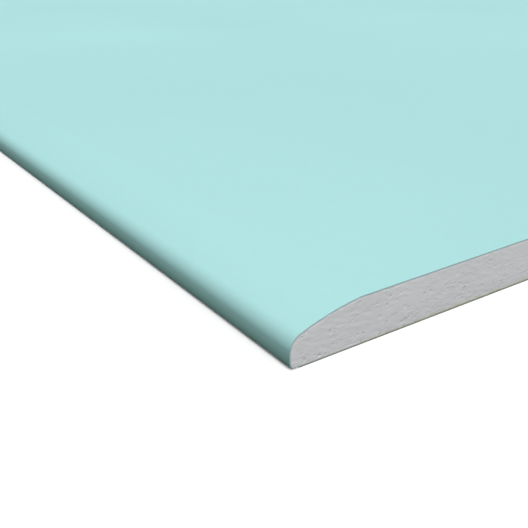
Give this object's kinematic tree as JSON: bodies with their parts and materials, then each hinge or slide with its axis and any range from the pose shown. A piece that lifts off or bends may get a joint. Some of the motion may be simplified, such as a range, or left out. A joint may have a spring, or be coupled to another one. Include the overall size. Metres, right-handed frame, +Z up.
{
  "type": "drywall sheet",
  "caption": "Flat drywall sheet with a gypsum core, a pale mint face paper wrapped round tapered half-round long edges, a back paper and square-cut ends.",
  "frame": {"origin": "middle of the sheet's back, which lies on the floor", "axes": "+X across the width, +Y along the length, away from the cut end that the picture shows, +Z up out of the face"},
  "size_m": [1.2, 2.5, 0.0125],
  "materials": {
    "gypsum": "matte",
    "face_paper": "matte",
    "back_paper": "matte"
  },
  "bodies": {
    "root": {"gypsum_core": "gypsum", "face_paper": "face_paper", "back_paper": "back_paper"}
  },
  "joints": []
}
